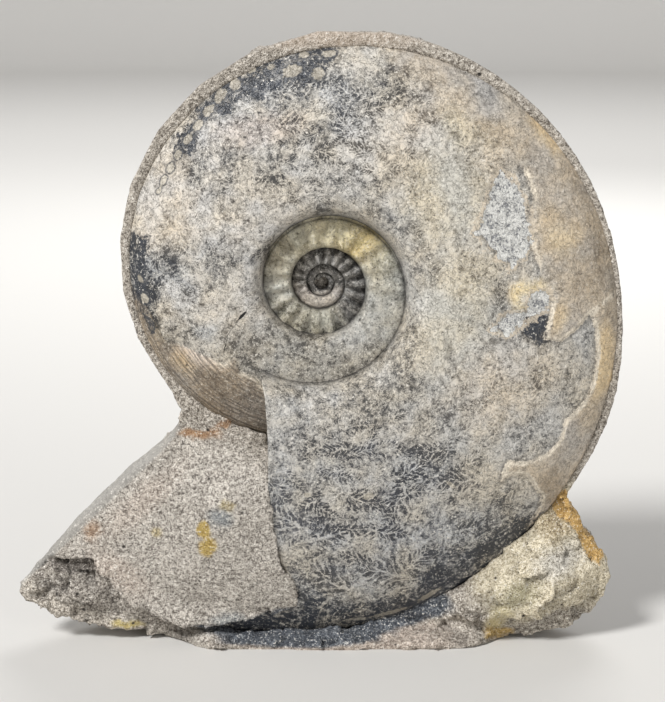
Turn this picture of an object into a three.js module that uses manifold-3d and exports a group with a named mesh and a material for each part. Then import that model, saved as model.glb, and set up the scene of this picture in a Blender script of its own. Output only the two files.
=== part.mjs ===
// A large fossil ammonite of the smooth, narrow-keeled Amaltheus kind, lying in the slab of
// sandy rock that it was freed from. The slab stands on a small flat spot along its lower edge.
// Millimetres. X runs to the right, Y goes back into the rock from the side that shows the
// shell, and Z is up. The shell is the same on both sides of the plane y = 0.

import * as THREE from "three";
import { mergeVertices } from "three/addons/utils/BufferGeometryUtils.js";
import { ImprovedNoise } from "three/addons/math/ImprovedNoise.js";
import Module from "manifold-3d";

const wasm = await Module();
wasm.setup();

// The coil. A turn angle of 0 points to the left of the centre, in the small inner whorls, and
// grows clockwise as seen from the front, 360 for each whorl.
const coilCentre = { x: 3.5, z: 149 };
const seamAtZero = 6.27;
const seamGrowth = 1.923;
const keelAtZero = 13.7;
const keelGrowth = 2.356;
const leastOverlap = 1.1;
const keelDrop = 2.4;
const keelDropDoneBy = 500;
const crestAtZero = 3.65;
const crestGrowth = 2.014;

// The cross-section of a whorl, from its keel (1) in to the seam it makes with the whorl before
// (0) up the side that shows, and back to the keel down the side that lies in the rock
const flankStations = [1, 0.97, 0.88, 0.73, 0.53, 0.3, 0.12, 0.035, 0];
const hiddenStations = [0, 0.15, 0.6];
const wallDepth = 0.55;
const wallWidth = 0.035;
const flankFall = 2.6;
const keelBlunt = 0.8;

const firstTurn = -684;
const firstShellRadius = 3.7;
const firstShellFlatness = 0.35;
const ringStep = 9;
const arcLength = 306;
const innerWhorlsEnd = 738;
const lastWhorlStart = 648;
const shellEnd = 1026;
const ribSpacing = 18;
const ribHeight = 0.1;
const ribsFadeWithTurn = [200, 640];
const ribsFadeAcross = [0.6, 0.9];

// Where the last whorl is broken off: from the seam down across the flank, then left along the
// ledge of rock that still covers its lowest edge
const breakLine = [
  [-20.5, 116], [-18.5, 107], [-17.5, 93], [-17.5, 65], [-15.5, 52], [-13, 38],
  [-9, 30], [-6.2, 23.5], [-7.4, 16.7], [-20, 13.6], [-28.5, 10.2], [-41, 8], [-53, 8.2],
];

// The slab
const clearance = 0.32;
const faceCell = 5.4;
const faceRowCrowding = 1.35;
const backCell = 11;
const slabHalfWidth = 135;
const slabHeight = 256;
const farFront = 60;
const farBack = 60;

const rimWidths = [
  [600, 3], [720, 3.3], [765, 5], [810, 6.2], [850, 4], [900, 1.4], [925, 3.2], [948, 1.2],
];
const rimFrom = 704;
const rimTo = 948;
const sawnFacetStep = 15;
const sawnFacetsTo = 810;
const smoothStepAngle = 6;

// The lower outline, clockwise from the notch at the right: the lobe, the foot, the tip, the
// sawn straight edge and the neck
const lowerOutline = [
  [100.5, 61], [108.5, 52], [110, 46], [116, 39], [118.5, 34], [120.5, 26], [117, 15.5],
  [109, 9], [101.5, 5.5], [89, 2.2], [77, 0.9], [60, 0],
  [-50, 0], [-61, 0.9], [-78, 4.6], [-95, 8.4], [-107, 13.2], [-119, 18.4],
  [-121.5, 22], [-97, 51], [-73.5, 74], [-59.5, 84.5], [-54.5, 91], [-53.5, 96], [-56.5, 103],
];

// How far the rock stands in front of the shell's middle plane: a low rim, which starts under
// the keel, a strip along the foot, a lobe at the right and a broken corner at the left. A pair
// of numbers is where a slope starts and ends.
const rimHeight = 1.2;
const rimSlope = [-16, -8];
const strip = { height: 15, fall: [2, 6.5], leftEnd: [-66, -40], rightEnd: [60, 84] };
const lobe = { x: 98, z: 30, radius: 40, height: 12, edge: [0.9, 1.2], clearOfKeel: [-6, 9] };
const corner = { height: 8, rightEnd: [-72, -50], top: [40, 60] };
const looseEdgeHeight = 3;
const looseEdgeWidth = 17;
const roughFrom = 6;

// The plate of rock that fills the body chamber, level with the flank at the break. Its lower
// edge overhangs the hollow that the lost part of the keel left.
const plateLeftEdge = [
  [-60.9, 10.6], [-65.7, 13.6], [-74.2, 18.9], [-82.3, 25.8], [-88.4, 37.6], [-98.5, 36.8],
  [-109, 37.6], [-slabHalfWidth, 40], [-slabHalfWidth, 92], [-54, 97], [-40, 112],
];
const plateCornerX = -17.5;
const plateProud = 1.4;
const plateLeast = 9;
const plateEdgeHeight = 12;
const plateTipHeight = 7;
const plateFallsToTip = [80, 120];
const plateLevelsOut = [5, 75];
const hollowRise = 25;
const hollowReach = { atBreak: 4, farOff: 20, widens: [5, 40] };
const hollowStart = 0.5;
const plateRoughFrom = [2, 14];

// How far the rock goes back behind that plane. The back is split along flat breaks that meet in
// blunt ridges: which way each one looks across the slab, how far out it ends, how thick the
// rock still is there, and how fast it thickens inwards.
const backThickness = 36;
const backLeast = 2;
const backLean = 0.01;
const breaksBehindDisc = [
  { x: 0, z: 1, out: 248, edge: 10, slope: 0.58 },
  { x: 0.71, z: 0.71, out: 216, edge: 9, slope: 0.62 },
  { x: 1, z: 0, out: 124, edge: 9, slope: 0.55 },
  { x: 0.8, z: -0.6, out: 44, edge: 9, slope: 0.55 },
  { x: -0.8, z: -0.6, out: -15, edge: 8, slope: 0.8 },
  { x: -1, z: 0.1, out: 93, edge: 9, slope: 0.7 },
  { x: -0.8, z: 0.6, out: 174, edge: 10, slope: 0.66 },
];
const breaksBehindBase = [
  { x: 0, z: 1, out: 118, edge: 0, slope: 0.9 },
  { x: 0.8, z: 0.6, out: 119, edge: 7, slope: 0.7 },
  { x: 0.85, z: -0.53, out: 92, edge: 8, slope: 0.8 },
  { x: -0.8, z: -0.6, out: 84, edge: 3, slope: 0.95 },
  { x: -0.69, z: 0.72, out: 104, edge: 3, slope: 0.95 },
];

const noise = new ImprovedNoise();

function mix(a, b, s) {
  return a + (b - a) * s;
}

function smooth(value, [from, to]) {
  return THREE.MathUtils.smoothstep(value, from, to);
}

function seamRadius(turn) {
  return seamAtZero * seamGrowth ** (turn / 360);
}

// The smallest whorls reach just past the seam that the next whorl makes on them
function keelRadius(turn) {
  return Math.max(keelAtZero * keelGrowth ** (turn / 360), leastOverlap * seamRadius(turn + 360));
}

function crestHalfWidth(turn) {
  return crestAtZero * crestGrowth ** (turn / 360);
}

function halfWidthAt(across) {
  const wall = 1 - wallDepth * Math.exp(-across / wallWidth);
  return wall * (1 - across ** flankFall) ** keelBlunt;
}

function ribs(turn, across) {
  const fade = (1 - smooth(turn, ribsFadeWithTurn)) * (1 - smooth(across, ribsFadeAcross));
  return 1 + ribHeight * fade * Math.cos((turn * 2 * Math.PI) / ribSpacing);
}

function keelDropAt(turn) {
  return keelDrop * smooth(turn, [0, keelDropDoneBy]);
}

// A point of the shell: how far it has grown, how far across the whorl, which side, and how much
// the whole surface is swollen. The keel's own line stays on the middle plane.
function shellPoint(turn, across, side, swell) {
  const angle = THREE.MathUtils.degToRad(180 - turn);
  const radius = mix(seamRadius(turn) - swell, keelRadius(turn) + swell, across);
  const swollen = across < 1 ? swell : 0;
  const half = crestHalfWidth(turn) * halfWidthAt(across) * ribs(turn, across) + swollen;
  return new THREE.Vector3(
    coilCentre.x + radius * Math.cos(angle),
    -side * half,
    coilCentre.z - keelDropAt(turn) * across + radius * Math.sin(angle),
  );
}

function solidOf(geometry) {
  geometry.deleteAttribute("normal");
  geometry.deleteAttribute("uv");
  const merged = mergeVertices(geometry, 1e-5);
  const vertProperties = new Float32Array(merged.attributes.position.array);
  const triVerts = new Uint32Array(merged.index.array);
  return new wasm.Manifold(new wasm.Mesh({ numProp: 3, vertProperties, triVerts }));
}

function geometryOf(solid) {
  const mesh = solid.getMesh();
  const geometry = new THREE.BufferGeometry();
  geometry.setAttribute("position", new THREE.BufferAttribute(mesh.vertProperties, 3));
  geometry.setIndex(new THREE.BufferAttribute(mesh.triVerts, 1));
  return geometry;
}

// A length of whorl is a cylinder whose rings are laid out along the coil, each as wide and high
// as the shell had grown by then
function whorlArc(from, to, swell) {
  const stations = [...flankStations, ...hiddenStations];
  const sides = stations.length;
  const rings = Math.round((to - from) / ringStep);
  const geometry = new THREE.CylinderGeometry(1, 1, 1, sides, rings);
  const position = geometry.attributes.position;
  for (let i = 0; i < position.count; i += 1) {
    const turn = from + ringStep * Math.round(rings * (0.5 + position.getY(i)));
    const onAxis = Math.hypot(position.getX(i), position.getZ(i)) < 0.5;
    const around = Math.atan2(position.getX(i), position.getZ(i)) / (2 * Math.PI);
    const k = (Math.round(around * sides) + sides) % sides;
    const side = k < flankStations.length ? 1 : -1;
    const point = onAxis ? shellPoint(turn, 0.5, 0, 0) : shellPoint(turn, stations[k], side, swell);
    position.setXYZ(i, point.x, point.y, point.z);
  }
  return solidOf(geometry);
}

function shapeFrom(points) {
  return new THREE.Shape(points.map(([x, z]) => new THREE.Vector2(x, z)));
}

// An outline drawn on the front, carried back through the whole slab
function throughCut(points) {
  const geometry = new THREE.ExtrudeGeometry(shapeFrom(points), {
    depth: farFront + farBack,
    bevelEnabled: false,
  });
  geometry.rotateX(Math.PI / 2);
  geometry.translate(0, farBack, 0);
  return solidOf(geometry);
}

// A length of the coil, made of arcs that overlap by one ring
function whorls(from, to, swell) {
  const arcs = [];
  for (let start = from; start < to; start += arcLength - ringStep) {
    arcs.push(whorlArc(start, Math.min(start + arcLength, to), swell));
  }
  return wasm.Manifold.union(arcs);
}

function shell(swell) {
  const brokenOff = throughCut([
    ...breakLine.map(([x, z]) => [x - swell, z + swell]),
    [-slabHalfWidth, breakLine.at(-1)[1]],
    [-slabHalfWidth, breakLine[0][1]],
  ]);
  const first = new THREE.SphereGeometry(firstShellRadius + swell, 12, 8);
  first.scale(1, firstShellFlatness, 1);
  first.translate(coilCentre.x, 0, coilCentre.z);
  return whorls(lastWhorlStart, shellEnd, swell)
    .subtract(brokenOff)
    .add(whorls(firstTurn, innerWhorlsEnd, swell))
    .add(solidOf(first));
}

// A place on the front seen from the coil's centre: its radius, and its turn angle within the
// whorl that starts at the given turn
function onCoil(x, z, drop, whorlStart) {
  const dx = x - coilCentre.x;
  const dz = z - coilCentre.z + drop;
  const angle = THREE.MathUtils.radToDeg(Math.atan2(dz, dx));
  const turn = whorlStart + THREE.MathUtils.euclideanModulo(180 - whorlStart - angle, 360);
  return { radius: Math.hypot(dx, dz), turn };
}

// The last whorl's half-width at a place on the front, carried on past the break
function flankHeight(x, z) {
  const { radius, turn } = onCoil(x, z, keelDrop / 2, 720);
  const across = (radius - seamRadius(turn)) / (keelRadius(turn) - seamRadius(turn));
  return crestHalfWidth(turn) * halfWidthAt(THREE.MathUtils.clamp(across, 0, 1));
}

function outsideKeel(x, z) {
  const { radius, turn } = onCoil(x, z, keelDrop, 720);
  return radius - keelRadius(turn < shellEnd ? turn : turn - 360);
}

function rimWidth(turn) {
  const k = rimWidths.findIndex(([to]) => to >= turn);
  const [from, before] = rimWidths[k - 1];
  const [to, after] = rimWidths[k];
  return mix(before, after, (turn - from) / (to - from));
}

// The slab was trimmed to follow the keel: in straight saw cuts up the left, smoothly elsewhere
function slabOutline() {
  const points = [];
  let turn = rimFrom;
  while (turn < rimTo) {
    const edge = shellPoint(turn, 1, 0, rimWidth(turn));
    points.push([edge.x, edge.z]);
    turn += turn < sawnFacetsTo ? sawnFacetStep : smoothStepAngle;
  }
  return [...points, ...lowerOutline];
}

const outline = slabOutline();

function distanceToOutline(x, z) {
  const here = new THREE.Vector3(x, 0, z);
  const nearest = new THREE.Vector3();
  let least = Infinity;
  outline.forEach(([ax, az], k) => {
    const [bx, bz] = outline[(k + 1) % outline.length];
    const side = new THREE.Line3(new THREE.Vector3(ax, 0, az), new THREE.Vector3(bx, 0, bz));
    least = Math.min(least, side.closestPointToPoint(here, true, nearest).distanceTo(here));
  });
  return least;
}

function lumps(x, z, size, height) {
  return height * noise.noise(x / size, 3.7, z / size);
}

function stripFront(x, z) {
  const ends = smooth(x, strip.leftEnd) * (1 - smooth(x, strip.rightEnd));
  return strip.height * (1 - smooth(z, strip.fall)) * ends;
}

function lobeFront(x, z, inside) {
  const fromCentre = Math.hypot(x - lobe.x, z - lobe.z) / lobe.radius;
  const kept = smooth(outsideKeel(x, z), lobe.clearOfKeel) * (1 - smooth(fromCentre, lobe.edge));
  return mix(looseEdgeHeight, lobe.height, inside) * kept;
}

function cornerFront(x, z, inside) {
  const kept = (1 - smooth(x, corner.rightEnd)) * (1 - smooth(z, corner.top));
  return mix(looseEdgeHeight, corner.height, inside) * kept;
}

function faceHeight(x, z) {
  const inside = smooth(distanceToOutline(x, z), [0, looseEdgeWidth]);
  const rim = rimHeight * smooth(outsideKeel(x, z), rimSlope);
  const height = Math.max(
    rim,
    stripFront(x, z),
    lobeFront(x, z, inside),
    cornerFront(x, z, inside),
  );
  const rough = lumps(x, z, 9, 1.2) + lumps(x, z, 23, 1.6);
  return height + rough * smooth(height, [rimHeight, roughFrom]);
}

function plateHeight(x, z) {
  const left = plateCornerX - x;
  const flank = Math.max(flankHeight(x, z), plateLeast) + plateProud;
  const edge = mix(plateEdgeHeight, plateTipHeight, smooth(-x, plateFallsToTip));
  const level = mix(flank, edge, smooth(left, plateLevelsOut));
  const { turn } = onCoil(x, z, 0, 540);
  const { radius } = onCoil(x, z, keelDrop, 540);
  const fromKeel = Math.max(0, radius - keelRadius(turn) - hollowStart);
  const reach = mix(hollowReach.atBreak, hollowReach.farOff, smooth(left, hollowReach.widens));
  const hollow = hollowRise * (1 - Math.exp(-fromKeel / reach));
  const rough = lumps(x, z, 11, 0.7) + lumps(x, z, 30, 1);
  return Math.min(level, hollow) + rough * smooth(fromKeel, plateRoughFrom);
}

function splitBack(breaks, x, z) {
  const depths = breaks.map((side) => {
    const inFromEdge = side.out - side.x * x - side.z * z;
    return side.edge + side.slope * inFromEdge;
  });
  return Math.min(backThickness - backLean * z, ...depths);
}

function backDepth(x, z) {
  const depth = Math.max(splitBack(breaksBehindDisc, x, z), splitBack(breaksBehindBase, x, z));
  return Math.max(backLeast, depth + lumps(x + 50, z, 37, 2.4) + lumps(x, z + 90, 15, 1.4));
}

// A block of rock with its two large faces raised to a relief. The rows can crowd towards the
// foot, where more of the rock shows.
function reliefBlock(cell, crowding, frontRelief, backRelief) {
  const across = Math.round((2 * slabHalfWidth) / cell);
  const up = Math.round(slabHeight / cell);
  const geometry = new THREE.BoxGeometry(2 * slabHalfWidth, 2, slabHeight, across, 1, up);
  const position = geometry.attributes.position;
  for (let i = 0; i < position.count; i += 1) {
    const x = position.getX(i);
    const z = slabHeight * (0.5 + position.getZ(i) / slabHeight) ** crowding - 1;
    const y = position.getY(i) < 0 ? -frontRelief(x, z) : backRelief(x, z);
    position.setXYZ(i, x, y, z);
  }
  return solidOf(geometry);
}

// Crumbs left between two whorls are dropped
function largest(solid) {
  return solid.decompose().reduce((kept, next) => (next.volume() > kept.volume() ? next : kept));
}

function matrix() {
  const justBehind = () => 1;
  const face = reliefBlock(faceCell, faceRowCrowding, faceHeight, justBehind);
  const back = reliefBlock(backCell, 1, () => 0, backDepth);
  const plate = reliefBlock(faceCell, faceRowCrowding, plateHeight, justBehind).intersect(
    throughCut([...breakLine, ...plateLeftEdge]),
  );
  const rock = face.add(back).add(plate).intersect(throughCut(outline)).subtract(shell(clearance));
  return largest(rock);
}

function piece(name, solid, color, roughness) {
  const material = new THREE.MeshStandardMaterial({ color, roughness, metalness: 0 });
  const mesh = new THREE.Mesh(geometryOf(solid), material);
  mesh.name = name;
  return mesh;
}

const ammonite = piece("ammonite", shell(0), "#a5a19a", 0.5);
const slab = piece("matrix", matrix(), "#a89f92", 0.9);

const model = new THREE.Group();
model.add(ammonite, slab);
const bounds = new THREE.Box3().setFromObject(model);
const middle = bounds.getCenter(new THREE.Vector3());
model.position.set(-middle.x, -middle.y, -bounds.min.z);

export default model;
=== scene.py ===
import math

import bmesh
import bpy
import numpy as np
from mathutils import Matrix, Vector, noise


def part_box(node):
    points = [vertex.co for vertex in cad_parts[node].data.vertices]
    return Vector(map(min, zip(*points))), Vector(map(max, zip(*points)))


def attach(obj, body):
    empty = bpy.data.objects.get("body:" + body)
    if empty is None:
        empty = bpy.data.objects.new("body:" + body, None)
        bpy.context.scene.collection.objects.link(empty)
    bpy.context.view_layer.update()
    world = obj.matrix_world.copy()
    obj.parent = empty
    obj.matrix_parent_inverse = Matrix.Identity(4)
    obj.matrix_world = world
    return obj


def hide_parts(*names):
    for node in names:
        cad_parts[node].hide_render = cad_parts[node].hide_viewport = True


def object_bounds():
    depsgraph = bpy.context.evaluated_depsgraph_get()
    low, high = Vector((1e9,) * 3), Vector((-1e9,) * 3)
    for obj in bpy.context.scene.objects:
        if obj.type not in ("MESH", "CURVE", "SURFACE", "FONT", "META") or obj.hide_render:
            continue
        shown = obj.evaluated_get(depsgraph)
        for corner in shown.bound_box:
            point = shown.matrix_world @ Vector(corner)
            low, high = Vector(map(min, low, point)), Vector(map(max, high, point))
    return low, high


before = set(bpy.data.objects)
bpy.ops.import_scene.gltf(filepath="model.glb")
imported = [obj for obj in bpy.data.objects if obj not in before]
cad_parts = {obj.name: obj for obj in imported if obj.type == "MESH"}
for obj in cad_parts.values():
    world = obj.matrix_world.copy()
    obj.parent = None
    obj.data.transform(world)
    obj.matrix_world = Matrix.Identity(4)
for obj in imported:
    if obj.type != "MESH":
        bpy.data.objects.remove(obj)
cad_low, cad_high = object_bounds()


# The shape of the ammonite
# The real piece is a smooth, narrow-keeled shell that grew as a coil and was filled with mud and
# calcite, which turned to stone. Most of the shell is gone and the stone shows. Its last whorl is
# broken off at the lower left, and its lowest edge goes on under a ledge of rock.

MM = 0.001
coil_x = 2.6
coil_z = 149
shell_low, shell_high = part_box("ammonite")
coil_y = (shell_low.y + shell_high.y) / 2 / MM

seam_at_zero, seam_growth = 6.27, 1.923
keel_at_zero, keel_growth = 13.7, 2.356
crest_at_zero, crest_growth = 3.65, 2.014
least_overlap = 1.1
# Turn in degrees from which whorls are bared of shell, smooth, and part of the last whorl
bared_from, smooth_from, last_whorl_from = 560, 640, 800
rib_count, rib_lean = 18, 40
keel_drop = 2.4
wall_depth, wall_width = 0.55, 0.035
flank_fall, keel_blunt = 2.6, 0.8

first_turn, last_turn = -684, 1026
ring_count = 900
front_count, back_count = 84, 6
wall_stations = 9
fracture_rows = 9

# The broken end, from the seam down to the ledge, and the ledge itself, as x and z
break_line = [
    (-21.7, 116), (-19.7, 107), (-18.7, 93), (-18.7, 65), (-16.7, 52), (-14.2, 38),
    (-10.2, 30), (-7.4, 23.5), (-8.6, 16.7),
]
ledge_line = [(-53.9, 8.2), (-41.9, 8.0), (-29.4, 10.2), (-20.9, 13.6), (-8.3, 16.7)]
break_skew_from = 950
strip_from, strip_to = 988, 1013.6
strip_inset = 0.12


def smooth(value, low, high):
    share = np.clip((value - low) / (high - low), 0, 1)
    return share * share * (3 - 2 * share)


def mix(a, b, share):
    return a + (b - a) * share


def seam_radius(turn):
    return seam_at_zero * seam_growth ** (turn / 360)


def keel_radius(turn):
    return np.maximum(keel_at_zero * keel_growth ** (turn / 360), least_overlap * seam_radius(turn + 360))


def half_width(turn, across):
    wall = 1 - wall_depth * np.exp(-across / wall_width)
    crest = crest_at_zero * crest_growth ** (turn / 360)
    return crest * wall * (1 - np.clip(across, 0, 1) ** flank_fall) ** keel_blunt


def on_front(turn, across):
    """x and z of a place on the shell, which has grown by turn degrees, across from seam to keel."""
    angle = np.radians(180 - turn)
    radius = mix(seam_radius(turn), keel_radius(turn), across)
    drop = keel_drop * smooth(turn, 0, 500) * across
    return coil_x + radius * np.cos(angle), coil_z - drop + radius * np.sin(angle)


def clouds(points, size, octaves=3, seed=0.0):
    """Noise of about -1 to 1 at each point, whose largest lumps are size millimetres across."""
    shift = Vector((seed, 7.3 * seed, 3.1))
    return np.array([noise.fractal(Vector(p) / size + shift, 0.9, 2.1, octaves) for p in points.tolist()])


def grid_mesh(name, columns, rows):
    """A flat grid as a mesh, with the column and row of each of its vertices."""
    bm = bmesh.new()
    bmesh.ops.create_grid(bm, x_segments=columns - 1, y_segments=rows - 1, size=0.5)
    mesh = bpy.data.meshes.new(name)
    bm.to_mesh(mesh)
    bm.free()
    places = np.zeros(len(mesh.vertices) * 3)
    mesh.vertices.foreach_get("co", places)
    places = places.reshape(-1, 3)
    column = np.rint((places[:, 0] + 0.5) * (columns - 1)).astype(int)
    row = np.rint((places[:, 1] + 0.5) * (rows - 1)).astype(int)
    return mesh, column, row


def ring_turns():
    """Where the rings stand along the coil: close together in the small whorls, wider in the large."""
    turns = np.linspace(first_turn, last_turn, 4000)
    middle = (seam_radius(turns) + keel_radius(turns)) / 2
    spacing = 0.3 + 0.75 * keel_radius(turns) / keel_radius(900)
    rings = np.concatenate([[0], np.cumsum(middle[1:] / spacing[1:])])
    return np.interp(np.linspace(0, rings[-1], ring_count), rings, turns)


def break_turn(across):
    """How far the shell goes at each place across it before it meets the break."""
    line_x, line_z = np.array(break_line[::-1]).T
    low, high = np.full(across.shape, 940.0), np.full(across.shape, 1060.0)
    for _ in range(40):
        middle = (low + high) / 2
        x, z = on_front(middle, across)
        short = x > np.interp(z, line_z, line_x)
        low = np.where(short, middle, low)
        high = np.where(short, high, middle)
    return low


def ledge_across(turn):
    """How far across the shell the ledge of rock reaches, along the strip of keel under it."""
    line_x, line_z = np.array(ledge_line).T
    low, high = np.zeros(turn.shape), np.ones(turn.shape)
    for _ in range(40):
        middle = (low + high) / 2
        x, z = on_front(turn, middle)
        above = z > np.interp(x, line_x, line_z)
        low = np.where(above, middle, low)
        high = np.where(above, high, middle)
    return low


def station_places():
    """Across and side of each station round a whorl: down the front from the keel to the seam, then back."""
    flank = np.linspace(1, wall_width * 2, front_count - wall_stations)
    wall = np.linspace(wall_width * 2, 0, wall_stations + 1)[1:]
    behind = np.linspace(0, 1, back_count + 1)[:-1]
    across = np.concatenate([flank, wall, behind])
    side = np.concatenate([np.ones(front_count), -np.ones(back_count)])
    return across, side


def whorl_tube(name, turns, least_across, inset, end_rows):
    """A closed length of the coil with its growth attributes. The last rows draw in to a rough end."""
    across, side = station_places()
    mesh, ring, station = grid_mesh(name, len(turns) + end_rows, len(across) + 1)
    station %= len(across)
    last = len(turns) - 1
    sinking = np.clip(ring - last, 0, None) / max(end_rows, 1)
    ring = np.minimum(ring, last)
    turn = turns[ring]
    share = mix(least_across(turn), 1, across[station])
    if end_rows:
        end = break_turn(share)
        reach = (turn - break_skew_from) / (last_turn - break_skew_from)
        turn = np.where(turn > break_skew_from, mix(break_skew_from, end, reach), turn)
    x, z = on_front(turn, share)
    half = np.maximum(half_width(turn, share) - inset, 0)
    places = np.stack([x, np.full(x.shape, coil_y), z], axis=1)
    front = side[station] > 0
    half = half + np.where(front & (half > 0), relief(places, turn, share), 0)
    half *= 1 - sinking
    ragged = np.sin(math.pi * sinking) * clouds(np.stack([x, half, z], axis=1), 4, 4, 5.0)
    places[:, 0] += 0.9 * ragged
    places[:, 1] = np.maximum(places[:, 1] - side[station] * half, cad_low.y / MM)
    mesh.vertices.foreach_set("co", (places * MM).ravel())
    growth = np.stack([np.radians(turn), np.log(np.hypot(x - coil_x, z - coil_z)), share], axis=1)
    mesh.attributes.new("growth", "FLOAT_VECTOR", "POINT").data.foreach_set("vector", growth.ravel())
    return mesh


# Where the thin brown shell is still on the stone, as outlines of x and z that run out past the
# keel: the right-hand side, the flake below it, and the whorl that the break lays bare
right_shell = [
    (30, 236), (48, 223), (60, 211), (71, 203), (80, 196), (84, 186), (84.5, 176), (84, 165), (89, 153),
    (93, 145), (91, 136), (89, 130), (95.8, 128), (101.6, 132), (107.3, 138), (112.7, 141), (119, 145),
    (140, 160), (130, 205), (95, 240), (55, 260), (25, 260),
]
lower_flake = [
    (108, 138.5), (110.6, 131), (111.6, 121), (110.5, 110), (107, 102), (103, 98), (99.1, 94.8),
    (97.7, 87.4), (92.3, 81.2), (83.2, 78.3), (76, 79.5), (73.6, 71.2), (78.5, 74.5), (84.6, 73),
    (87.5, 68), (91.4, 62), (90, 56), (86.3, 49.5), (97, 50), (112, 62), (135, 90), (135, 140), (119, 145),
]
bared_whorl = [
    (-74, 148), (-68, 143), (-64.8, 136), (-59.3, 126), (-51.4, 124.8), (-43, 121), (-35.8, 117.9),
    (-31.8, 120.7), (-29.9, 115.1), (-24, 112.7), (-20, 107), (-8, 100), (-8, 75), (-60, 75), (-110, 130),
]
# Where a flake has lifted the smooth surface off and left rough stone
rough_patches = [
    [(70.9, 194.7), (78.8, 187), (81.7, 177.3), (83.1, 165.6), (76, 157.7), (69.6, 163.6), (61.7, 170.7),
     (64.5, 177.3), (67, 187)],
    [(85.5, 148.7), (89.6, 147.9), (90.7, 141.9), (86, 139.5), (80, 136), (74.2, 131), (68.2, 134),
     (74, 139.9), (81, 140)],
]
# Dark stone that the pale bloom leaves bare: a black bit by the rough patches, then the slate-blue
# lobes along the keel
slate_outlines = [
    [(82.5, 138.5), (88.5, 139.5), (92, 136), (91.5, 129.5), (87, 127), (83.5, 129.5), (80.5, 132)],
    [(-49.4, 218.4), (-38.6, 229), (-24.8, 236.5), (-9.6, 242.5), (7.5, 245.4), (8.6, 237.2), (4.8, 233.5),
     (1, 227.5), (-1.7, 228.6), (-5.1, 226.3), (-10.4, 229.3), (-15, 224.4), (-17.7, 225.6), (-20.4, 219.1),
     (-22.3, 220.3), (-25.7, 221.8), (-28.4, 221), (-31.9, 217.6), (-34.9, 214.6), (-38.7, 216.9),
     (-42.2, 213.1), (-45.6, 214.6)],
    [(-55.8, 201.6), (-52.6, 208.5), (-48, 211.5), (-44.2, 208.5), (-45.8, 202.4), (-50.5, 199.3)],
    [(-74.3, 169.1), (-65.8, 168.3), (-64.3, 163.6), (-67.2, 158.9), (-64.5, 153.8), (-66.2, 147.9),
     (-61.6, 145.5), (-64.1, 139.9), (-66.5, 136.8), (-61.1, 132), (-65.1, 128.8), (-68.9, 135.2),
     (-73, 143.9), (-75.4, 155.8)],
    [(-60, -2), (-58, 8.4), (-31.1, 11), (-22.1, 15.3), (-14.8, 15.3), (-6.7, 13.5), (-5, 20.4), (-1.8, 24.7),
     (3.9, 23.8), (5.5, 17.8), (11.6, 16.1), (22.5, 18.7), (31.8, 20.4), (39.9, 24.7), (41.9, 30.6),
     (46.7, 33.2), (49.8, 39.1), (54.6, 42.5), (61.9, 40.8), (69.1, 45.8), (75.8, 50.9), (81.7, 54.2),
     (87.8, 53.4), (97, 55.1), (93.2, 43.7), (82.3, 28.9), (70.4, 18.3), (61.6, 11.8), (50.3, 4.9),
     (31.2, -1.1), (-1, -7.2)],
]
# Where the edge of the shell stands up as a bright broken rim
rim_zones = [
    (68, 190, 9, 6, 0), (82, 189, 12, 8, 0), (101, 135, 26, 13, 25), (111, 139, 14, 8, 0),
    (82, 73, 17, 11, 0), (93, 82, 15, 13, 0), (99, 98, 12, 10, 0), (109, 118, 8, 22, 0),
    (92, 60, 10, 13, 0), (-28, 114, 16, 8, -20), (84, 158, 4, 10, 0),
]
# A fine crack across the flank, a dark gash on it, and pinholes with their radius
crack_line = [(-17.5, 148.6), (-23.8, 143.9), (-29.7, 137.2), (-34.5, 130), (-36.5, 122)]
gash = (-28, 137.5)
pin_holes = [
    (-46, 121.5, 0.6), (-51.2, 116.7, 0.5), (-36.5, 212.0, 0.7), (-30.1, 212.9, 0.7), (-1.8, 222.9, 0.8),
]


def to_outline(x, z, outline):
    """Distance in from an outline, in millimetres, and below 0 outside it."""
    least = np.full(x.shape, 1e9)
    inside = np.zeros(x.shape, bool)
    for (ax, az), (bx, bz) in zip(outline, outline[1:] + outline[:1]):
        dx, dz = bx - ax, bz - az
        along = np.clip(((x - ax) * dx + (z - az) * dz) / (dx * dx + dz * dz), 0, 1)
        least = np.minimum(least, np.hypot(x - ax - along * dx, z - az - along * dz))
        crosses = (az > z) != (bz > z)
        inside ^= crosses & (x < ax + (z - az) / (dz or 1e-9) * dx)
    return np.where(inside, least, -least)


def blot(x, z, place):
    """1 at the middle of a tilted oval and 0 at its edge. place is its x, z, two radii and tilt."""
    cx, cz, rx, rz, tilt = place
    c, s = math.cos(math.radians(tilt)), math.sin(math.radians(tilt))
    along, up = (x - cx) * c + (z - cz) * s, (z - cz) * c - (x - cx) * s
    return 1 - np.hypot(along / rx, up / rz)


def shell_layer(x, z, turn):
    """How far in from the edge of the brown shell a place is."""
    right = np.maximum(to_outline(x, z, right_shell), to_outline(x, z, lower_flake))
    bared = to_outline(x, z, bared_whorl)
    return np.where(turn > last_whorl_from, right, np.where(turn > bared_from, bared, -9))


def rough_layer(x, z, turn):
    found = np.maximum(*[to_outline(x, z, patch) for patch in rough_patches])
    return np.where(turn > last_whorl_from, found, -9)


def rim_strength(x, z):
    return np.maximum.reduce([smooth(blot(x, z, zone), 0, 0.3) for zone in rim_zones])


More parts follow.
